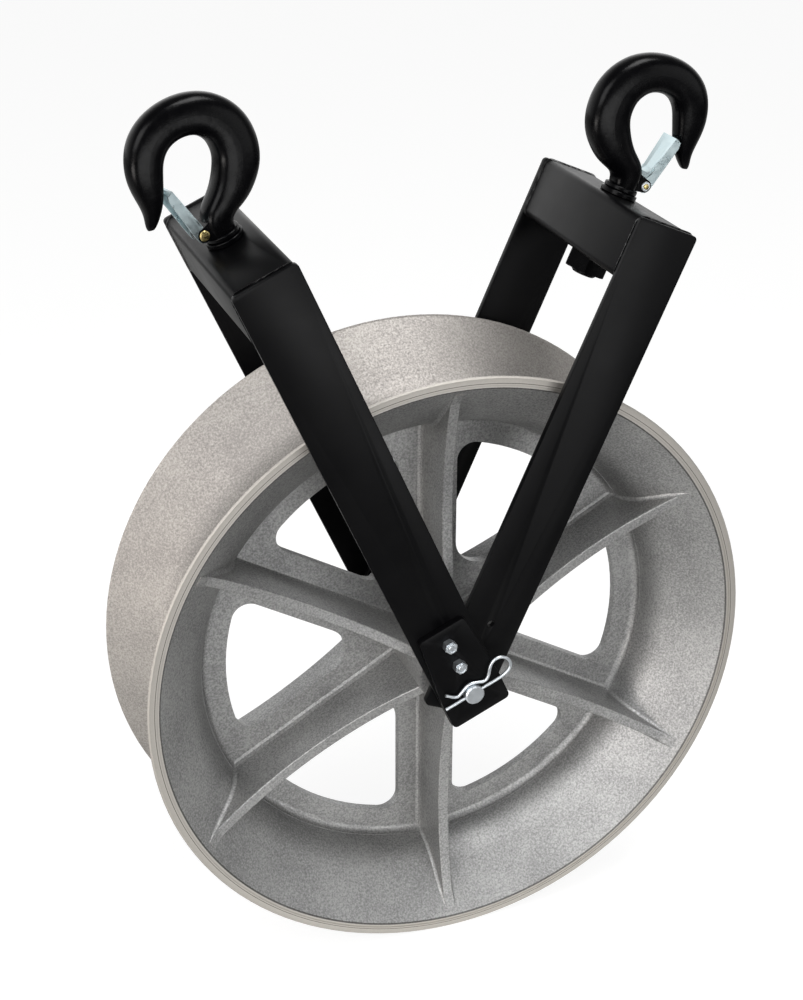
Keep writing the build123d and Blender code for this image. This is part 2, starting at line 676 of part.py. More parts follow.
def latch():
    """A pressed steel channel from the pivot to the inside of the hook's tip."""
    half = LATCH_W / 2
    length = LATCH_LENGTH
    web_x = -4.2
    outline = [
        (web_x, 3.0),
        (web_x, length),
        (web_x + LATCH_FLANGE - 2.0, length - 1.0),
        (web_x + LATCH_FLANGE, length - 6.0),
        (LATCH_EAR_R, 6.0),
        (LATCH_EAR_R, 0.0),
        (web_x, 0.0),
    ]
    with BuildSketch(Plane.XZ) as sketch:
        with BuildLine():
            Polyline(*outline, outline[0])
        make_face()
        Circle(LATCH_EAR_R)
    block = extrude(sketch.sketch, half, both=True)
    keep = half - LATCH_WALL
    hollow = box_between((web_x + LATCH_WALL, -keep, -length), (length, keep, 2 * length))
    below = box_between((-length, -keep, -length), (length, keep, LATCH_OPEN_FROM))
    body = block - hollow - below
    body = body - axial_cylinder(LATCH_BOLT_R + 0.06, -half - 1, half + 1)
    x, z = LATCH_PIVOT
    return one_solid(body).moved(Location((x, 0, z), (0, LATCH_LEAN_DEG, 0)))


def latch_bolt():
    x, z = LATCH_PIVOT
    half = LATCH_W / 2 + 0.15
    shaft = axial_cylinder(LATCH_BOLT_R, -half - 0.5, half + 5.6, x, z)
    head = axial_cylinder(4.8, -half - 3.2, -half, x, z)
    head = fillet(head.edges().group_by(Axis.Y)[0], 1.4)
    return one_solid(shaft + head)


def latch_nut():
    x, z = LATCH_PIVOT
    half = LATCH_W / 2 + 0.15
    plane = Plane(origin=(x, half, z), x_dir=(1, 0, 0), z_dir=(0, 1, 0))
    nut = hexagon(8.0, 4.2, plane)
    nut = nut - axial_cylinder(LATCH_BOLT_R + 0.04, half - 1, half + 8, x, z)
    return one_solid(nut)


def latch_spring():
    """A short torsion coil on the pivot bolt, in the gap between the lug and the latch's ear."""
    x, z = LATCH_PIVOT
    low = -(LATCH_W / 2 - LATCH_WALL - 0.3)
    coil = ring(4.6, LATCH_BOLT_R + 0.25, low, low + 1.15)
    return one_solid(coil).moved(Location((x, 0, z)))


# ---------------------------------------------------------------- the whole object
def nodes():
    """Each node's name with its solid, or with its list of identical solids."""
    found = {"sheave": sheave()}
    ends = (("front", -1), ("rear", 1))
    inner_face = RIGHT_SPAN / 2 - LEG_T
    for name, sign in ends:
        found["bearing_" + name] = bearing(sign)
        found["hub_spacer_" + name] = spacer(sign, HUB_HALF - 0.55, inner_face - 0.05, HUB_SPACER_R)
        low = RIGHT_SPAN / 2 + 0.15
        high = LEFT_SPAN / 2 - LEG_T - 0.05
        found["yoke_washer_" + name] = spacer(sign, low, high, WASHER_R)
    found["axle_pin"] = axle_pin()
    found["hitch_pin"] = hitch_pin()
    found["pin_plate"] = pin_plate()
    found["plate_bolts"] = plate_bolts()
    found["plate_nuts"] = plate_nuts()
    for side in ("left", "right"):
        for name, sign in ends:
            found["%s_leg_%s" % (side, name)] = leg(side, sign)
            found["%s_weld_%s" % (side, name)] = weld(side, sign)
        found["%s_crosshead" % side] = crosshead(side)
        spot = hook_location(side)
        found["%s_hook" % side] = place(hook_body(), spot)
        found["%s_hook_ring" % side] = place(hook_ring(), spot)
        found["%s_hook_nut" % side] = place(hook_nut(), spot)
        found["%s_latch" % side] = place(latch(), spot)
        found["%s_latch_bolt" % side] = place(latch_bolt(), spot)
        found["%s_latch_nut" % side] = place(latch_nut(), spot)
        found["%s_latch_spring" % side] = place(latch_spring(), spot)
    return found


def main():
    os.makedirs("parts", exist_ok=True)
    for name, shape in nodes().items():
        if isinstance(shape, list):
            shape = Compound(children=shape)
        export_step(shape, os.path.join("parts", name + ".step"))
        box = shape.bounding_box()
        print("%-22s %8.1f %8.1f %8.1f  volume %10.0f" % (name, box.size.X, box.size.Y, box.size.Z, shape.volume))


if __name__ == "__main__":
    main()
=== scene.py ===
import json
import math

import bmesh
import bpy
from mathutils import Matrix, Vector

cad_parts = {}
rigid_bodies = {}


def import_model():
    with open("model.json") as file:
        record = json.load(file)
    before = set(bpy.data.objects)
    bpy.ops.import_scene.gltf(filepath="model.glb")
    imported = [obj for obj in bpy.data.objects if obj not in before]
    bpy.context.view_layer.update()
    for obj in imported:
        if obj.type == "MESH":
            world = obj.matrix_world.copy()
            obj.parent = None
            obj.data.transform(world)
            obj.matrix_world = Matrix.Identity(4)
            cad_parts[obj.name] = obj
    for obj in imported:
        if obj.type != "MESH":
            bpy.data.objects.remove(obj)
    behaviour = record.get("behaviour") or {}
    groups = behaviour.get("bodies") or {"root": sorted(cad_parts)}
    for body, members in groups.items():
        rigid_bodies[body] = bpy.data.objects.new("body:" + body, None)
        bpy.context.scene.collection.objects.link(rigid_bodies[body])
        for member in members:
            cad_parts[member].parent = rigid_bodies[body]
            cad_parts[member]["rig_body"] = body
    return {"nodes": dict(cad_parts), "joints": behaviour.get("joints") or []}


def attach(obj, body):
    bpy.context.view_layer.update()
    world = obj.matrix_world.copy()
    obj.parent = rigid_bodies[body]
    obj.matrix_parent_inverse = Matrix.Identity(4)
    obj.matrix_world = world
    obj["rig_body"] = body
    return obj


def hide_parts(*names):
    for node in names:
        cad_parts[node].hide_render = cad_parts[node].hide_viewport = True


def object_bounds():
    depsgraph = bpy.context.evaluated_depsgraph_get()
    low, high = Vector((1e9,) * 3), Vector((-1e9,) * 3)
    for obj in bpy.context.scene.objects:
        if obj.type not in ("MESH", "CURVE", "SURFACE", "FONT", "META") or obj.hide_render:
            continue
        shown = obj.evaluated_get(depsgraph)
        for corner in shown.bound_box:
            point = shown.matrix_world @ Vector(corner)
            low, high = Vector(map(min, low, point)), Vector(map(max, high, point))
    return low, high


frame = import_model()
CAD_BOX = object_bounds()

bl_info = {
    "name": "Stringing Block",
    "version": (1, 0, 0),
    "blender": (4, 5, 0),
    "location": "View3D > Sidebar > Stringing Block",
    "description": "Dresses a stringing block: cast sheave, two painted yokes, forged hooks, latches and pin",
    "category": "Add Mesh",
}

MM = 0.001
SIDES = ("left", "right")
ENDS = ("front", "rear")
SMOOTH_UP_TO = math.radians(35)
ROUND_FROM = math.radians(40)
ROUND_COLLAR_FROM = math.radians(30)

# The sheave's surfaces, in metres: radius from the axle, or distance from its middle plane.
SHEAVE_R = 0.305
SHEAVE_HALF = 0.086
GROOVE_FLOOR = (SHEAVE_R - 0.069, SHEAVE_R - 0.065)
LIP_INSIDE = (SHEAVE_R - 0.0115, SHEAVE_R - 0.0105)
LIP_FACE = (SHEAVE_HALF - 0.0018, SHEAVE_HALF - 0.0008)
NEAR_LIP = (SHEAVE_HALF - 0.0035, SHEAVE_HALF - 0.0025)
STEP_R = SHEAVE_R - 0.0118
STEP_HALF_WIDTH = 0.0007
SCORE_R = SHEAVE_R - 0.0068
SCORE_HALF_WIDTH = 0.0003

# The camera looks at AIM from a distance, turned round upright and raised, in metres and degrees.
CAMERA_AIM = (-0.025523, 0.0, 0.150121)
CAMERA_AZIMUTH = -20.731
CAMERA_ELEVATION = 26.072
CAMERA_ROLL = 0.125
CAMERA_DISTANCE = 1.80778
CAMERA_SENSOR = 36.0
CAMERA_LENS = 1.87626 * CAMERA_SENSOR

# name, place, what it points at, width and height, watts, colour
LAMPS = (
    ("key", (-1.8, -1.6, 1.7), (0, 0, 0), (1.6, 1.6), 40.0, "#FFFFFF"),
    ("side", (-2.0, -1.4, -0.05), (0.1, 0, 0), (1.2, 0.5), 23.0, "#FFFAF6"),
    ("fill", (1.9, -1.7, 0.7), (0, 0, 0), (1.4, 1.4), 8.0, "#FFFFFF"),
    ("front", (0.2, -2.3, 0.1), (0, 0, 0), (1.8, 0.8), 20.0, "#FFFFFF"),
    ("top", (0.5, -0.6, 2.3), (0, 0, 0.1), (1.1, 0.9), 36.0, "#FFFFFF"),
)


# ---------------------------------------------------------------- colour and nodes
def linear(colour):
    """A colour written as sRGB hex, turned into the linear values that a shader takes."""
    parts = [int(colour[i:i + 2], 16) / 255 for i in (1, 3, 5)]
    return tuple(p / 12.92 if p <= 0.04045 else ((p + 0.055) / 1.055) ** 2.4 for p in parts) + (1.0,)


def feed(tree, made, **links):
    """Sets a node's inputs to values or links them to sockets, by the input's name, or by i and its number."""
    for key, value in links.items():
        socket = made.inputs[int(key[1:])] if key[1:].isdigit() else made.inputs[key.replace("_", " ")]
        if isinstance(value, bpy.types.NodeSocket):
            tree.links.new(value, socket)
        else:
            socket.default_value = value


def node(tree, kind, settings=None, **links):
    """Adds one node, with its own settings, and its inputs set to values or linked to sockets."""
    made = tree.nodes.new(kind)
    for key, value in (settings or {}).items():
        setattr(made, key, value)
    feed(tree, made, **links)
    return made


def new_material(name):
    """An empty material with one principled shader, and the Object coordinates for its patterns."""
    material = bpy.data.materials.new(name)
    material.use_nodes = True
    tree = material.node_tree
    tree.nodes.clear()
    shader = node(tree, "ShaderNodeBsdfPrincipled")
    output = node(tree, "ShaderNodeOutputMaterial")
    tree.links.new(shader.outputs["BSDF"], output.inputs["Surface"])
    place = node(tree, "ShaderNodeTexCoord").outputs["Object"]
    return material, tree, shader, place


def per_metre(size_mm):
    """The scale of a pattern whose spots are about size_mm across."""
    return 1.0 / (size_mm * MM)


def cast_aluminium(colours):
    """Sand-cast aluminium: grey and speckled in the bowls, warmer in the turned groove by a painted warm
    reflection, bright on the lips.
    """
    material, tree, shader, place = new_material("sand_cast_aluminium")
    times = {"operation": "MULTIPLY"}
    times_plus = {"operation": "MULTIPLY_ADD"}
    close_to = {"operation": "COMPARE"}
    colour_mix = {"data_type": "RGBA"}
    ramp = "ShaderNodeMapRange"
    parts = node(tree, "ShaderNodeSeparateXYZ", None, Vector=place).outputs
    flat = node(tree, "ShaderNodeCombineXYZ", None, X=parts["X"], Z=parts["Z"]).outputs[0]
    radius = node(tree, "ShaderNodeVectorMath", {"operation": "LENGTH"}, i0=flat).outputs["Value"]
    height = node(tree, "ShaderNodeMath", {"operation": "ABSOLUTE"}, i0=parts["Y"]).outputs[0]
    facing = node(tree, "ShaderNodeTexCoord").outputs["Normal"]
    dot = {"operation": "DOT_PRODUCT"}
    outwards = node(tree, "ShaderNodeVectorMath", dot, i0=facing, i1=flat).outputs["Value"]

    # The groove faces away from the axle and reaches from its floor out to the lips.
    faces_out = node(tree, ramp, None, Value=outwards, From_Min=0.004, From_Max=0.02).outputs[0]
    floor_from, floor_to = GROOVE_FLOOR
    far_out = node(tree, ramp, None, Value=radius, From_Min=floor_from, From_Max=floor_to).outputs[0]
    groove = node(tree, "ShaderNodeMath", times, i0=faces_out, i1=far_out).outputs[0]
    beyond = node(tree, ramp, None, Value=radius, From_Min=LIP_INSIDE[0], From_Max=LIP_INSIDE[1]).outputs[0]
    high = node(tree, ramp, None, Value=height, From_Min=LIP_FACE[0], From_Max=LIP_FACE[1]).outputs[0]
    lip = node(tree, "ShaderNodeMath", times, i0=beyond, i1=high).outputs[0]

    # The sand mould leaves fine speckle and soft clouds, and the lathe leaves rings.
    fine = {"Scale": per_metre(1.9), "Detail": 3.0, "Roughness": 0.6}
    soft = {"Scale": per_metre(70.0), "Detail": 4.0, "Roughness": 0.55}
    ringed = {"Scale": per_metre(1.4), "Detail": 2.0, "Roughness": 0.5}
    speckle = node(tree, "ShaderNodeTexNoise", None, Vector=place, **fine).outputs["Fac"]
    cloud = node(tree, "ShaderNodeTexNoise", None, Vector=place, **soft).outputs["Fac"]
    tone = node(tree, "ShaderNodeMath", times_plus, i0=cloud, i1=0.45, i2=-0.225).outputs[0]
    mixed = node(tree, "ShaderNodeMath", {"operation": "ADD"}, i0=speckle, i1=tone).outputs[0]
    share = node(tree, ramp, None, Value=mixed, From_Min=0.33, From_Max=0.67).outputs[0]
    rings_at = node(tree, "ShaderNodeCombineXYZ", None, X=height, Y=radius).outputs[0]
    rings = node(tree, "ShaderNodeTexNoise", None, Vector=rings_at, **ringed).outputs["Fac"]
    tones = []
    for by, dark, light in (
        (share, colours.cast_dark, colours.cast_light),
        (share, colours.groove_and_reflection_dark, colours.groove_and_reflection_light),
        (rings, colours.lip_dark, colours.lip_light),
    ):
        made = node(tree, "ShaderNodeMix", colour_mix, i0=by, i6=linear(dark), i7=linear(light))
        tones.append(made.outputs[2])
    cast, turned, machined = tones
    # The groove's warm tint is a painted reflection of warm surroundings.
    body = node(tree, "ShaderNodeMix", colour_mix, i0=groove, i6=cast, i7=turned).outputs[2]
    faced = node(tree, "ShaderNodeMix", colour_mix, i0=lip, i6=body, i7=machined).outputs[2]

    # Painted shade: dark lines along the lathe tool's step inside the lip and the fine score across it.
    near = node(tree, ramp, None, Value=height, From_Min=NEAR_LIP[0], From_Max=NEAR_LIP[1]).outputs[0]
    step = node(tree, "ShaderNodeMath", close_to, i0=radius, i1=STEP_R, i2=STEP_HALF_WIDTH).outputs[0]
    score = node(tree, "ShaderNodeMath", close_to, i0=radius, i1=SCORE_R, i2=SCORE_HALF_WIDTH).outputs[0]
    either = node(tree, "ShaderNodeMath", {"operation": "MAXIMUM"}, i0=step, i1=score).outputs[0]
    painted_shade_lines = node(tree, "ShaderNodeMath", times, i0=either, i1=near).outputs[0]
    dark = node(tree, "ShaderNodeMath", times, i0=painted_shade_lines, i1=0.75).outputs[0]
    colour = node(tree, "ShaderNodeMix", colour_mix, i0=dark, i6=faced, i7=linear(colours.painted_step_shade)).outputs[2]

    # Roughness falls where the speckle is high, and the groove and the lips are a little rougher.
    sheen = {"From_Min": 0.3, "From_Max": 0.7, "To_Min": 0.60, "To_Max": 0.50}
    rough = node(tree, ramp, None, Value=speckle, **sheen).outputs[0]
    for place_of, more in ((groove, 0.06), (lip, 0.04)):
        rough = node(tree, "ShaderNodeMath", times_plus, i0=place_of, i1=more, i2=rough).outputs[0]
    lathe = node(tree, "ShaderNodeMath", times, i0=rings, i1=groove).outputs[0]
    marks = node(tree, "ShaderNodeBump", None, Height=lathe, Distance=0.12 * MM, Strength=0.5).outputs[0]
    relief = node(tree, "ShaderNodeBump", None, Height=speckle, Distance=0.25 * MM, Strength=0.5, Normal=marks)
    feed(tree, shader, Base_Color=colour, Roughness=rough, Metallic=1.0, Normal=relief.outputs[0])
    return material


def clouded(name, low, high, size_mm, roughness, sheen):
    """A finish whose colour and sheen drift together in clouds of that size."""
    material, tree, shader, place = new_material(name)
    pattern = {"Scale": per_metre(size_mm), "Detail": 3.0, "Roughness": roughness}
    cloud = node(tree, "ShaderNodeTexNoise", None, Vector=place, **pattern).outputs["Fac"]
    colour_mix = {"data_type": "RGBA"}
    colour = node(tree, "ShaderNodeMix", colour_mix, i0=cloud, i6=linear(low), i7=linear(high)).outputs[2]
    ends = {"From_Min": 0.3, "From_Max": 0.7, "To_Min": sheen[0], "To_Max": sheen[1]}
    rough = node(tree, "ShaderNodeMapRange", None, Value=cloud, **ends).outputs[0]
    feed(tree, shader, Base_Color=colour, Roughness=rough)
    return material, tree, shader, place, cloud


def powder_coat(colours):
    """Satin black powder coat on flat bar: nearly black, with a fine orange peel."""
    made = clouded("black_powder_coat", colours.coat, colours.coat_worn, 80.0, 0.6, (0.34, 0.44))
    material, tree, shader, place, cloud = made
    pattern = {"Scale": per_metre(3.0), "Detail": 2.0, "Roughness": 0.5}
    peel = node(tree, "ShaderNodeTexNoise", None, Vector=place, **pattern).outputs["Fac"]
    relief = node(tree, "ShaderNodeBump", None, Height=peel, Distance=0.05 * MM, Strength=0.5).outputs[0]
    feed(tree, shader, Specular_IOR_Level=0.11, Normal=relief)
    return material


def weld_coat(colours):
    """The same coat over a weld bead: it shows the bead's overlapping ripples."""
    material, tree, shader, place = new_material("coated_weld_bead")
    pattern = {"Scale": per_metre(5.0), "Smoothness": 0.6}
    blobs = node(tree, "ShaderNodeTexVoronoi", {"feature": "SMOOTH_F1"}, Vector=place, **pattern)
    ripples = blobs.outputs["Distance"]
    relief = node(tree, "ShaderNodeBump", None, Height=ripples, Distance=1.6 * MM, Strength=1.0).outputs[0]
    feed(tree, shader, Base_Color=linear(colours.coat_worn), Roughness=0.3)
    feed(tree, shader, Specular_IOR_Level=0.35, Normal=relief)
    return material


def forged_enamel(colours):
    """Gloss black enamel over a forging: the forged skin's slow waves show in the gloss."""
    made = clouded("black_enamel_on_forging", colours.enamel, colours.enamel_worn, 9.0, 0.55, (0.21, 0.29))
    material, tree, shader, place, skin = made
    relief = node(tree, "ShaderNodeBump", None, Height=skin, Distance=0.35 * MM, Strength=0.5).outputs[0]
    feed(tree, shader, Specular_IOR_Level=0.11, Normal=relief)
    return material


def bright_zinc(colours):
    """Bright zinc plate: a cool, light metal with slight cloudiness."""
    made = clouded("bright_zinc_plate", colours.zinc_dark, colours.zinc, 6.0, 0.6, (0.32, 0.44))
    material, tree, shader, place, cloud = made
    feed(tree, shader, Metallic=1.0)
    return material


def latch_zinc(colours):
    """Blue-tinted zinc of the pressed latches, with a satin sheen."""
    made = clouded("blue_zinc_sheet", colours.latch_dark, colours.latch, 7.0, 0.6, (0.26, 0.4))
    material, tree, shader, place, cloud = made
    relief = node(tree, "ShaderNodeBump", None, Height=cloud, Distance=0.04 * MM, Strength=0.4).outputs[0]
    feed(tree, shader, Metallic=1.0, Normal=relief)
    return material


def yellow_zinc(colours):
    """Yellow passivated zinc: gold in tint, cloudy in colour and sheen."""
    made = clouded("yellow_zinc_plate", colours.yellow_dark, colours.yellow, 4.0, 0.6, (0.22, 0.38))
    material, tree, shader, place, cloud = made
    feed(tree, shader, Metallic=1.0)
    return material


def turned_steel(colours):
    """Turned steel, lightly oiled: darker than zinc, with an even satin sheen; on the latch channels' floors it
    is painted shade.
    """
    made = clouded("turned_steel", colours.steel_and_channel_shade_dark, colours.steel_and_channel_shade, 5.0, 0.6, (0.36, 0.36))
    material, tree, shader, place, cloud = made
    feed(tree, shader, Metallic=1.0)
    return material


MAKERS = {
    "cast": cast_aluminium,
    "coat": powder_coat,
    "weld": weld_coat,
    "enamel": forged_enamel,
    "zinc": bright_zinc,
    "latch": latch_zinc,
    "yellow": yellow_zinc,
    "steel_and_channel_shade": turned_steel,
}
MADE = {}


def finish_of(kind):
    """The material of that kind, made once."""
    if kind not in MADE:
        MADE[kind] = MAKERS[kind](bpy.context.scene.block_colours)
    return MADE[kind]


def paint(piece, *kinds):
    """Gives the piece these finishes, one to a slot."""
    piece.data.materials.clear()
    for kind in kinds:
        piece.data.materials.append(finish_of(kind))


# ---------------------------------------------------------------- mesh helpers
def only(piece):
    """Selects one object alone."""
    if bpy.context.object and bpy.context.object.mode != "OBJECT":
        bpy.ops.object.mode_set(mode="OBJECT")
    bpy.ops.object.select_all(action="DESELECT")
    piece.select_set(True)
    bpy.context.view_layer.objects.active = piece


def apply_all(piece):
    """Applies the piece's modifiers in their order."""
    only(piece)
    for modifier in list(piece.modifiers):
        bpy.ops.object.modifier_apply(modifier=modifier.name)


def rounded(piece, width, angle=ROUND_FROM, segments=2):
    """Rounds the edges that are sharper than the angle."""
    soft = piece.modifiers.new("edges", "BEVEL")
    soft.limit_method = "ANGLE"
    soft.angle_limit = angle
    soft.width = width
    soft.segments = segments
    apply_all(piece)


def smoothed(piece):
    """Shades the piece smooth, but for its sharp edges."""
    only(piece)
    bpy.ops.object.shade_smooth_by_angle(angle=SMOOTH_UP_TO)


def copy_of(node_name, piece_name, edge):
    """A merged copy of a CAD node, with its sharp edges rounded unless edge is 0, that stands for it."""
    source = frame["nodes"][node_name]
    piece = bpy.data.objects.new(piece_name, source.data.copy())
    bpy.context.scene.collection.objects.link(piece)
    only(piece)
    bpy.ops.object.mode_set(mode="EDIT")
    bpy.ops.mesh.select_all(action="SELECT")
    bpy.ops.mesh.remove_doubles(threshold=0.002 * MM)
    bpy.ops.mesh.dissolve_limited(angle_limit=math.radians(0.6))
    bpy.ops.mesh.customdata_custom_splitnormals_clear()
    bpy.ops.object.mode_set(mode="OBJECT")
    if edge:
        rounded(piece, edge)
    smoothed(piece)
    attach(piece, source["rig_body"])
    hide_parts(node_name)
    return piece


def joint_of(name):
    """Where a joint sits and which way it points, in metres."""
    found = [joint for joint in frame["joints"] if joint["name"] == name][0]
    return Vector(found["pos_m"]), Vector(found["axis"]).normalized()


def across(piece, swing, change):
    """Moves points along the joint's axis only: change takes how far out and how far along they are."""
    anchor, axis = swing
    for vertex in piece.data.vertices:
        out = (vertex.co - anchor).dot(axis)
        along = (vertex.co - anchor - axis * out).length
        vertex.co += axis * (change(out, along) - out)


def press_channel(piece, side, swing):
    """Presses a channel into the web's face towards the hook, and gives its floor the darker second slot as
    painted shade.
    """
    sizes = bpy.context.scene.block_sizes
    axis = swing[1]
    corners = [Vector(corner) for corner in frame["nodes"]["%s_hook" % side].bound_box]
    middle = sum(corners, Vector()) / len(corners)
    only(piece)
    bpy.ops.object.mode_set(mode="EDIT")
    bpy.ops.mesh.select_all(action="DESELECT")
    mesh = bmesh.from_edit_mesh(piece.data)
    flat = [face for face in mesh.faces if abs(face.normal.dot(axis)) < 0.1]
    inner = [face for face in flat if face.normal.dot(face.calc_center_median() - middle) < 0]
    web = max(inner, key=lambda face: face.calc_area())
    web.select_set(True)
    bmesh.update_edit_mesh(piece.data)
    bpy.ops.mesh.inset(thickness=sizes.latch_land, depth=-sizes.latch_press)
    mesh = bmesh.from_edit_mesh(piece.data)
    for face in mesh.faces:
        face.material_index = 1 if face.select else 0
    bmesh.update_edit_mesh(piece.data)
    bpy.ops.object.mode_set(mode="OBJECT")


def narrowed_latch(side, swing):
    """The sheet latch with its pressed channel, narrower at the ears than at the hook's tip."""
    sizes = bpy.context.scene.block_sizes
    anchor, axis = swing
    piece = copy_of("%s_latch" % side, "%s_latch_plate" % side, 0)
    press_channel(piece, side, swing)
    reaches = [(v.co - anchor - axis * (v.co - anchor).dot(axis)).length for v in piece.data.vertices]
    taper_length = max(reaches) - sizes.latch_ear

    def change(out, along):
        share = min(max((along - sizes.latch_ear) / taper_length, 0), 1)
        return out * (sizes.latch_narrow + (1 - sizes.latch_narrow) * share)

    across(piece, swing, change)
    rounded(piece, sizes.latch_edge)
    smoothed(piece)
    return piece


def pulled_in(side, part, swing):
    """A pivot fastener of the latch, drawn in to the narrower ears, its two ends swapped over."""
    sizes = bpy.context.scene.block_sizes
    piece = copy_of("%s_%s" % (side, part), "%s_%s_close" % (side, part), sizes.fastener_edge)
    only(piece)
    across(piece, swing, lambda out, along: -out * sizes.latch_narrow)
    bpy.ops.object.mode_set(mode="EDIT")
    bpy.ops.mesh.select_all(action="SELECT")
    bpy.ops.mesh.normals_make_consistent(inside=False)
    bpy.ops.object.mode_set(mode="OBJECT")
    return piece


# ---------------------------------------------------------------- operators
class BlockColours(bpy.types.PropertyGroup):
    cast_light: bpy.props.StringProperty(
        name="Cast, light", description="Lighter tone of the cast sheave", default="#B4B4B3"
    )
    cast_dark: bpy.props.StringProperty(
        name="Cast, dark", description="Darker tone of the cast sheave", default="#898989"
    )
    # The groove's tones hold a warm tint that is a painted reflection of warm surroundings.
    groove_and_reflection_light: bpy.props.StringProperty(
        name="Groove, light", description="Lighter tone of the turned groove", default="#B6B2AD"
    )
    groove_and_reflection_dark: bpy.props.StringProperty(
        name="Groove, dark", description="Darker tone of the turned groove", default="#979390"
    )
    lip_light: bpy.props.StringProperty(
        name="Lip, light", description="Lighter rings of the machined lips", default="#D2CEC8"
    )
    lip_dark: bpy.props.StringProperty(
        name="Lip, dark", description="Darker rings of the machined lips", default="#A29E98"
    )
    # Painted shade: colour of the dark lines painted in the lip's turned step and score.
    painted_step_shade: bpy.props.StringProperty(
        name="Painted_shade", description="Dark line in the turned step of the lips", default="#4A4744"
    )
    coat: bpy.props.StringProperty(name="Coat", description="Powder coat of the yokes", default="#030304")
    coat_worn: bpy.props.StringProperty(
        name="Coat, worn", description="Lighter patches of the powder coat", default="#050506"
    )
    enamel: bpy.props.StringProperty(name="Enamel", description="Enamel of the hooks", default="#020203")
    enamel_worn: bpy.props.StringProperty(
        name="Enamel, worn", description="Lighter patches of the enamel", default="#040405"
    )
    zinc: bpy.props.StringProperty(name="Zinc", description="Bright zinc plate", default="#DDE2E6")
    zinc_dark: bpy.props.StringProperty(
        name="Zinc, dark", description="Darker clouds of the zinc", default="#C8CED3"
    )
    yellow: bpy.props.StringProperty(
        name="Yellow zinc", description="Yellow zinc plate", default="#D8C48A"
    )
    yellow_dark: bpy.props.StringProperty(
        name="Yellow zinc, dark", description="Darker clouds of it", default="#A89A66"
    )
    latch: bpy.props.StringProperty(
        name="Latch", description="Blue-tinted zinc of the latches", default="#D3E0E2"
    )
    latch_dark: bpy.props.StringProperty(
        name="Latch, dark", description="Darker clouds of it", default="#A9BCC1"
    )
    # Steel's colours also paint shade on the latch channels' floors.
    steel_and_channel_shade: bpy.props.StringProperty(name="Steel", description="Turned steel", default="#B9BABC")
    steel_and_channel_shade_dark: bpy.props.StringProperty(
        name="Steel, dark", description="Darker clouds of it", default="#8C8D90"
    )


class BlockSizes(bpy.types.PropertyGroup):
    bar_edge: bpy.props.FloatProperty(
        name="Bar edge", description="Rounding of the flat bars and the plate",
        default=0.7 * MM, unit="LENGTH"
    )
    tube_edge: bpy.props.FloatProperty(
        name="Tube edge", description="Rounding of the cut edges of the tubes",
        default=0.5 * MM, unit="LENGTH"
    )
    fastener_edge: bpy.props.FloatProperty(
        name="Fastener edge", description="Rounding of the latch bolts and nuts",
        default=0.3 * MM, unit="LENGTH"
    )
    latch_edge: bpy.props.FloatProperty(
        name="Latch edge", description="Rounding of the sheet latches", default=0.35 * MM, unit="LENGTH"
    )
    latch_ear: bpy.props.FloatProperty(
        name="Latch ear", description="Reach of the straight ears from the pivot",
        default=7.0 * MM, unit="LENGTH"
    )
    latch_land: bpy.props.FloatProperty(
        name="Latch land", description="Flat left round the pressed channel",
        default=6.0 * MM, unit="LENGTH"
    )
    latch_press: bpy.props.FloatProperty(
        name="Latch press", description="Depth of the pressed channel", default=1.1 * MM, unit="LENGTH"
    )
    bolt_low: bpy.props.FloatProperty(
        name="Lower bolt", description="Its height above the axle, along the leg",
        default=35.5 * MM, unit="LENGTH"
    )
    bolt_high: bpy.props.FloatProperty(
        name="Upper bolt", description="Its height above the axle, along the leg",
        default=61.5 * MM, unit="LENGTH"
    )
    collar_radius: bpy.props.FloatProperty(
        name="Collar radius", description="Radius of a lock nut's collar", default=4.7 * MM, unit="LENGTH"
    )
    collar_height: bpy.props.FloatProperty(
        name="Collar height", description="Height of a lock nut's collar", default=1.6 * MM, unit="LENGTH"
    )
    collar_wall: bpy.props.FloatProperty(
        name="Collar wall", description="Wall of a lock nut's collar", default=1.2 * MM, unit="LENGTH"
    )
    collar_hollow: bpy.props.FloatProperty(
        name="Collar hollow", description="Depth of the collar's open middle",
        default=0.9 * MM, unit="LENGTH"
    )
    collar_edge: bpy.props.FloatProperty(
        name="Collar edge", description="Rounding of the collar's edges", default=0.35 * MM, unit="LENGTH"
    )
    latch_narrow: bpy.props.FloatProperty(
        name="Latch narrowing", description="Width at the ears over width at the tip",
        default=0.66, min=0.0, max=1.0, subtype="FACTOR"
    )
    yoke_lean: bpy.props.FloatProperty(
        name="Yoke lean", description="Lean of the left yoke", default=math.radians(23.77), subtype="ANGLE"
    )


class BLOCK_OT_sheave(bpy.types.Operator):
    """Finish the cast sheave and its bearings"""
    bl_idname = "block.sheave"
    bl_label = "Sheave"

    def execute(self, context):
        paint(frame["nodes"]["sheave"], "cast")
        for end in ENDS:
            paint(frame["nodes"]["bearing_" + end], "steel_and_channel_shade")
            paint(frame["nodes"]["hub_spacer_" + end], "steel_and_channel_shade")
            paint(frame["nodes"]["yoke_washer_" + end], "zinc")
        return {"FINISHED"}


class BLOCK_OT_yokes(bpy.types.Operator):
    """Round the edges of the yokes' flat bars and tubes, and coat them"""
    bl_idname = "block.yokes"
    bl_label = "Yokes"

    def execute(self, context):
        sizes = context.scene.block_sizes
        for side in SIDES:
            for end in ENDS:
                paint(copy_of("%s_leg_%s" % (side, end), "%s_bar_%s" % (side, end), sizes.bar_edge), "coat")
                paint(frame["nodes"]["%s_weld_%s" % (side, end)], "weld")
            paint(copy_of("%s_crosshead" % side, "%s_tube" % side, sizes.tube_edge), "coat")
        paint(copy_of("pin_plate", "keeper_plate", sizes.bar_edge), "coat")
        return {"FINISHED"}


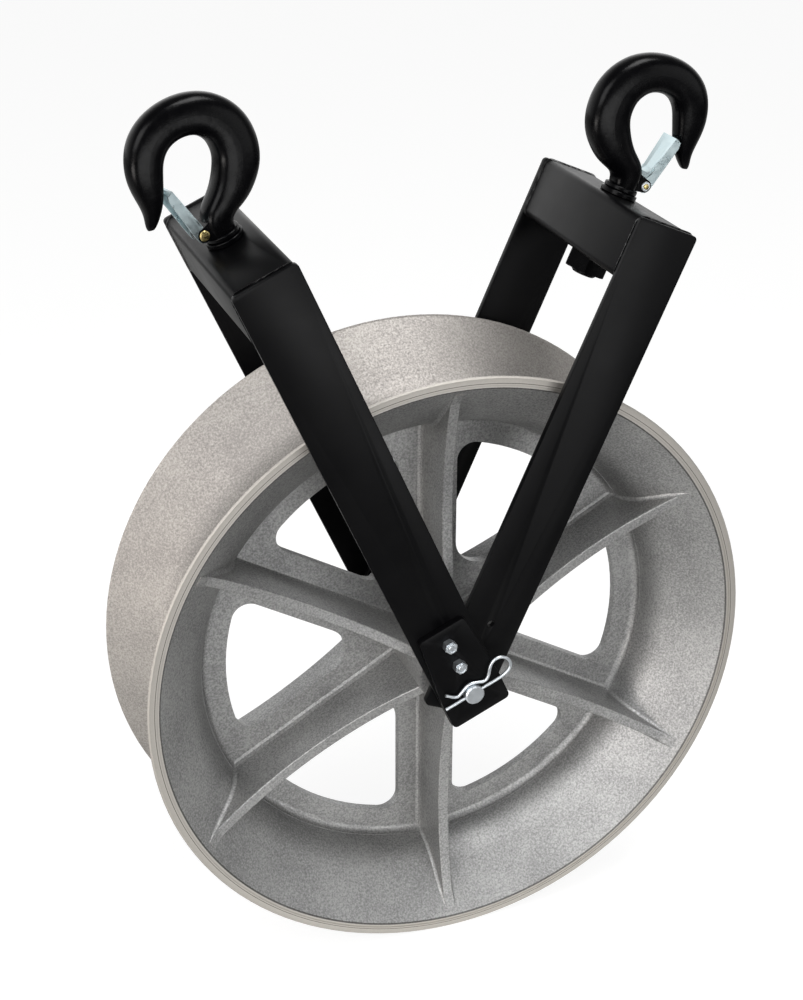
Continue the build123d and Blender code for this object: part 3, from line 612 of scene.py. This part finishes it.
class BLOCK_OT_hooks(bpy.types.Operator):
    """Forged hooks with their rings, nuts and latches"""
    bl_idname = "block.hooks"
    bl_label = "Hooks"

    def execute(self, context):
        for side in SIDES:
            for part in ("hook", "hook_ring", "hook_nut"):
                paint(frame["nodes"]["%s_%s" % (side, part)], "enamel")
            swing = joint_of("%s_latch_swing" % side)
            # The channel's floor takes the darker steel finish as painted shade.
            paint(narrowed_latch(side, swing), "latch", "steel_and_channel_shade")
            paint(pulled_in(side, "latch_bolt", swing), "yellow")
            paint(pulled_in(side, "latch_nut", swing), "zinc")
            paint(frame["nodes"]["%s_latch_spring" % side], "steel_and_channel_shade")
        return {"FINISHED"}


def nut_collar(name, spot, sizes):
    """The round crimped collar of a lock nut, open in the middle for the stud."""
    bpy.ops.object.select_all(action="DESELECT")
    place = (spot.x, spot.y - sizes.collar_height / 2, spot.z)
    bpy.ops.mesh.primitive_cylinder_add(
        vertices=40,
        radius=sizes.collar_radius,
        depth=sizes.collar_height,
        location=place,
        rotation=(math.pi / 2, 0, 0),
    )
    piece = bpy.context.object
    piece.name = name
    bpy.ops.object.transform_apply(location=True, rotation=True, scale=True)
    bpy.ops.object.mode_set(mode="EDIT")
    bpy.ops.mesh.select_all(action="DESELECT")
    mesh = bmesh.from_edit_mesh(piece.data)
    for face in mesh.faces:
        face.select_set(face.normal.y < -0.9)
    bmesh.update_edit_mesh(piece.data)
    bpy.ops.mesh.inset(thickness=sizes.collar_wall)
    bpy.ops.mesh.inset(thickness=0.1 * MM, depth=-sizes.collar_hollow)
    bpy.ops.object.mode_set(mode="OBJECT")
    rounded(piece, sizes.collar_edge, ROUND_COLLAR_FROM, 3)
    smoothed(piece)
    return piece


def copied_to(piece, name, move):
    """A copy of the piece with its own mesh, moved there in the mesh."""
    twin = bpy.data.objects.new(name, piece.data.copy())
    bpy.context.scene.collection.objects.link(twin)
    twin.data.transform(Matrix.Translation(move))
    return twin


class BLOCK_OT_fasteners(bpy.types.Operator):
    """Axle, wire clip, bolts and lock nuts"""
    bl_idname = "block.fasteners"
    bl_label = "Fasteners"

    def execute(self, context):
        for name in ("axle_pin", "hitch_pin", "plate_bolts", "plate_nuts"):
            paint(frame["nodes"][name], "zinc")
        sizes = context.scene.block_sizes
        nuts = frame["nodes"]["plate_nuts"]
        face = min(vertex.co.y for vertex in nuts.data.vertices)
        up_the_leg = Vector((-math.sin(sizes.yoke_lean), 0, math.cos(sizes.yoke_lean)))
        low = Vector((0, face, 0)) + up_the_leg * sizes.bolt_low
        first = nut_collar("collar_low", low, sizes)
        second = copied_to(first, "collar_high", up_the_leg * (sizes.bolt_high - sizes.bolt_low))
        for collar in (first, second):
            paint(collar, "zinc")
            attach(collar, nuts["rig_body"])
        return {"FINISHED"}


def area_light(name, spot, target, size, power, colour):
    """A soft rectangular lamp at spot, pointed at target."""
    data = bpy.data.lights.new(name, "AREA")
    data.shape = "RECTANGLE"
    data.size, data.size_y = size
    data.energy = power
    data.color = linear(colour)[:3]
    lamp = bpy.data.objects.new(name, data)
    bpy.context.scene.collection.objects.link(lamp)
    lamp.location = spot
    lamp.rotation_euler = (Vector(target) - Vector(spot)).to_track_quat("-Z", "Y").to_euler()


def background_rays(tree):
    """1 for the rays that should see the plain background: the camera's own and the transmitted ones."""
    path = node(tree, "ShaderNodeLightPath").outputs
    held = {"operation": "ADD", "use_clamp": True}
    camera, through = path["Is Camera Ray"], path["Is Transmission Ray"]
    return node(tree, "ShaderNodeMath", held, i0=camera, i1=through).outputs[0]


def pale_floor():
    """Matt pale floor that reads as white, keeps the object's shadow, and is darker in front in reflections."""
    material = bpy.data.materials.new("pale_floor")
    material.use_nodes = True
    tree = material.node_tree
    tree.nodes.clear()
    glossy = node(tree, "ShaderNodeLightPath").outputs["Is Glossy Ray"]
    place = node(tree, "ShaderNodeTexCoord").outputs["Object"]
    depth = node(tree, "ShaderNodeSeparateXYZ", None, Vector=place).outputs["Y"]
    behind = node(tree, "ShaderNodeMapRange", None, Value=depth, From_Min=-0.65, From_Max=-0.15).outputs[0]
    colour_mix = {"data_type": "RGBA"}
    pale = linear("#EFEFED")
    reflected = node(tree, "ShaderNodeMix", colour_mix, i0=behind, i6=linear("#565656"), i7=pale).outputs[2]
    colour = node(tree, "ShaderNodeMix", colour_mix, i0=glossy, i6=pale, i7=reflected).outputs[2]
    matt = node(tree, "ShaderNodeBsdfDiffuse", None, Color=colour)
    light = node(tree, "ShaderNodeEmission", None, Color=(1, 1, 1, 1), Strength=1.16)
    seen = background_rays(tree)
    share = node(tree, "ShaderNodeMath", {"operation": "MULTIPLY"}, i0=seen, i1=0.76).outputs[0]
    mixed = node(tree, "ShaderNodeMixShader", None, i0=share, i1=matt.outputs[0], i2=light.outputs[0])
    node(tree, "ShaderNodeOutputMaterial", None, Surface=mixed.outputs[0])
    return material


def studio_world():
    """White background, soft grey light, and for reflections a room that is bright low down behind."""
    world = bpy.data.worlds.new("studio")
    world.use_nodes = True
    tree = world.node_tree
    tree.nodes.clear()
    soft = node(tree, "ShaderNodeBackground", None, Color=linear("#E9EAEC"), Strength=0.34)
    white = node(tree, "ShaderNodeBackground", None, Color=(1, 1, 1, 1), Strength=1.0)
    way = node(tree, "ShaderNodeTexCoord").outputs["Generated"]
    parts = node(tree, "ShaderNodeSeparateXYZ", None, Vector=way).outputs
    behind = node(tree, "ShaderNodeMapRange", None, Value=parts["Y"], From_Min=-0.3, From_Max=0.7).outputs[0]
    falling = {"From_Min": 0.75, "From_Max": 0.35, "To_Min": 0.12, "To_Max": 1.0}
    low_down = node(tree, "ShaderNodeMapRange", None, Value=parts["Z"], **falling).outputs[0]
    both = node(tree, "ShaderNodeMath", {"operation": "MULTIPLY"}, i0=behind, i1=low_down).outputs[0]
    shade = node(tree, "ShaderNodeMapRange", None, Value=both, To_Min=0.12, To_Max=1.5).outputs[0]
    room = node(tree, "ShaderNodeBackground", None, Color=(1, 1, 1, 1), Strength=shade)
    glossy = node(tree, "ShaderNodeLightPath").outputs["Is Glossy Ray"]
    inside = node(tree, "ShaderNodeMixShader", None, i0=glossy, i1=soft.outputs[0], i2=room.outputs[0])
    seen = background_rays(tree)
    mixed = node(tree, "ShaderNodeMixShader", None, i0=seen, i1=inside.outputs[0], i2=white.outputs[0])
    node(tree, "ShaderNodeOutputWorld", None, Surface=mixed.outputs[0])
    return world


def add_camera(scene):
    """The camera, set back from its aim and looking at it."""
    azimuth, elevation, roll = (math.radians(v) for v in (CAMERA_AZIMUTH, CAMERA_ELEVATION, CAMERA_ROLL))
    level = math.cos(elevation)
    back = Vector((math.sin(azimuth) * level, -math.cos(azimuth) * level, math.sin(elevation)))
    data = bpy.data.cameras.new("camera")
    data.sensor_width = CAMERA_SENSOR
    data.lens = CAMERA_LENS
    camera = bpy.data.objects.new("camera", data)
    scene.collection.objects.link(camera)
    camera.location = Vector(CAMERA_AIM) + back * CAMERA_DISTANCE
    turn = (-back).to_track_quat("-Z", "Y").to_matrix() @ Matrix.Rotation(roll, 3, "Z")
    camera.rotation_euler = turn.to_euler()
    scene.camera = camera


class BLOCK_OT_stage(bpy.types.Operator):
    """Pale floor, soft lights, white surroundings and the camera"""
    bl_idname = "block.stage"
    bl_label = "Stage"

    def execute(self, context):
        scene = context.scene
        bpy.ops.object.select_all(action="DESELECT")
        bpy.ops.mesh.primitive_plane_add(size=12.0, location=(0, 0, CAD_BOX[0].z - 0.5 * MM))
        floor = context.object
        floor.name = "floor"
        floor.data.materials.append(pale_floor())
        scene.world = studio_world()
        for lamp in LAMPS:
            area_light(*lamp)
        add_camera(scene)
        scene.view_settings.view_transform = "Standard"
        return {"FINISHED"}


OPERATORS = (
    BLOCK_OT_sheave,
    BLOCK_OT_yokes,
    BLOCK_OT_hooks,
    BLOCK_OT_fasteners,
    BLOCK_OT_stage,
)


class BLOCK_PT_panel(bpy.types.Panel):
    bl_idname = "BLOCK_PT_panel"
    bl_label = "Stringing Block"
    bl_space_type = "VIEW_3D"
    bl_region_type = "UI"
    bl_category = "Stringing Block"

    def draw(self, context):
        for operator in OPERATORS:
            self.layout.operator(operator.bl_idname)
        for group in (context.scene.block_sizes, context.scene.block_colours):
            for key in group.bl_rna.properties.keys():
                if key not in ("rna_type", "name"):
                    self.layout.prop(group, key)


CLASSES = (BlockColours, BlockSizes, BLOCK_PT_panel) + OPERATORS


def register():
    for cls in CLASSES:
        bpy.utils.register_class(cls)
    bpy.types.Scene.block_colours = bpy.props.PointerProperty(type=BlockColours)
    bpy.types.Scene.block_sizes = bpy.props.PointerProperty(type=BlockSizes)


def unregister():
    del bpy.types.Scene.block_sizes
    del bpy.types.Scene.block_colours
    for cls in reversed(CLASSES):
        bpy.utils.unregister_class(cls)


def main():
    register()
    for operator in OPERATORS:
        group, name = operator.bl_idname.split(".")
        getattr(getattr(bpy.ops, group), name)()


if __name__ == "__main__":
    main()
